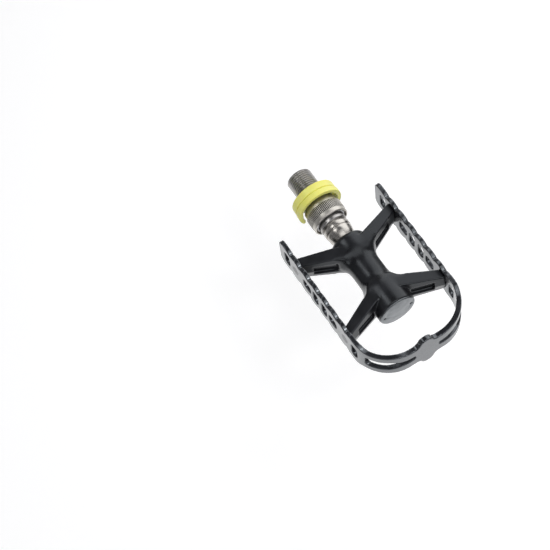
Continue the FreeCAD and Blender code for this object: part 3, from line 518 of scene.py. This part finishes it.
def make_floor():
    """A white floor far under the pedal. What shines in the pedal is its nearest part only."""
    nodes = Nodes("floor_white")
    ray = nodes.add("ShaderNodeLightPath").outputs
    distance = nodes.add("ShaderNodeVectorMath", operation="LENGTH")
    nodes.join(nodes.place, distance.inputs[0])
    fade = nodes.add("ShaderNodeMapRange", interpolation_type="SMOOTHSTEP")
    fade.inputs["From Min"].default_value = GLOW_FULL
    fade.inputs["From Max"].default_value = GLOW_GONE
    fade.inputs["To Min"].default_value = FLOOR_GLOW
    fade.inputs["To Max"].default_value = 0.0
    nodes.join(distance.outputs["Value"], fade.inputs["Value"])
    mirrored = nodes.add("ShaderNodeMath", operation="MAXIMUM")
    nodes.join(ray["Is Glossy Ray"], mirrored.inputs[0])
    nodes.join(ray["Is Transmission Ray"], mirrored.inputs[1])
    glow = nodes.add("ShaderNodeMath", operation="MULTIPLY")
    nodes.join(mirrored.outputs[0], glow.inputs[0])
    nodes.join(fade.outputs["Result"], glow.inputs[1])
    seen = nodes.add("ShaderNodeMath", operation="MULTIPLY_ADD")
    nodes.join(ray["Is Camera Ray"], seen.inputs[0])
    seen.inputs[1].default_value = FLOOR_SEEN
    nodes.join(glow.outputs[0], seen.inputs[2])
    nodes.set(Base_Color=(0.8, 0.8, 0.8, 1), Roughness=0.9, Specular_IOR_Level=0.0)
    nodes.set(Emission_Color=(1, 1, 1, 1))
    nodes.join(seen.outputs[0], nodes.shader.inputs["Emission Strength"])
    mesh = bpy.data.meshes.new("floor")
    reach = FLOOR_REACH
    corners = [(-reach, -reach, 0), (reach, -reach, 0), (reach, reach, 0), (-reach, reach, 0)]
    mesh.from_pydata(corners, [], [(0, 1, 2, 3)])
    floor = bpy.data.objects.new("floor", mesh)
    floor.location = MIDDLE.x, MIDDLE.y, CAD_BOX[0][2] - FLOOR_DROP
    bpy.context.scene.collection.objects.link(floor)
    finish_as(floor, nodes.material)


def make_light():
    """A dim room, large soft lamps, and two small ones for the glints on edges."""
    world = bpy.data.worlds.new("room")
    bpy.context.scene.world = world
    world.use_nodes = True
    tree = world.node_tree
    direction = tree.nodes.new("ShaderNodeTexCoord").outputs["Generated"]
    split = tree.nodes.new("ShaderNodeSeparateXYZ")
    tree.links.new(direction, split.inputs["Vector"])
    ramp = tree.nodes.new("ShaderNodeValToRGB")
    ramp.color_ramp.elements[0].position = 0.0
    ramp.color_ramp.elements[0].color = (*ROOM_LOW, 1)
    ramp.color_ramp.elements[1].position = ROOM_TURN
    ramp.color_ramp.elements[1].color = (*ROOM_HIGH, 1)
    tree.links.new(split.outputs["Z"], ramp.inputs["Fac"])
    tree.links.new(ramp.outputs["Color"], tree.nodes["Background"].inputs["Color"])
    for name, place, width, depth, power in LAMPS:
        lamp = bpy.data.lights.new(name, "AREA")
        lamp.shape = "RECTANGLE"
        lamp.size = width
        lamp.size_y = depth
        lamp.energy = power
        holder = bpy.data.objects.new(name, lamp)
        bpy.context.scene.collection.objects.link(holder)
        holder.location = MIDDLE + Vector(place) * MM
        holder.rotation_euler = (MIDDLE - holder.location).to_track_quat("-Z", "Y").to_euler()


def make_camera():
    data = bpy.data.cameras.new("photo_camera")
    data.sensor_fit = "HORIZONTAL"
    data.sensor_width = SENSOR
    data.lens = SENSOR * FOCAL_PIXELS / PHOTO_PIXELS
    data.clip_start = NEAREST_SEEN
    camera = bpy.data.objects.new("photo_camera", data)
    bpy.context.scene.collection.objects.link(camera)
    right = CAMERA_RIGHT.normalized()
    back = right.cross(CAMERA_UP).normalized()
    up = back.cross(right)
    turn = Matrix((right, up, back)).transposed()
    camera.matrix_world = Matrix.Translation(CAMERA_PLACE) @ turn.to_4x4()
    bpy.context.scene.camera = camera


bpy.context.scene.view_settings.view_transform = "Standard"
dress_nodes()
make_casting()
moulded("cage", "bent_cage", CAGE_CELL, rounds=3)
moulded("safety_clip", "clip_moulding", CLIP_CELL, rounds=25)
soften("end_cap", "cap_pressing", width=0.15 * MM)
soften("lock_collar", "collar_turning", width=0.05 * MM, segments=1)
soften("axle", "axle_turning", width=0.12 * MM)
make_stud()
make_spring()
make_floor()
make_light()
make_camera()
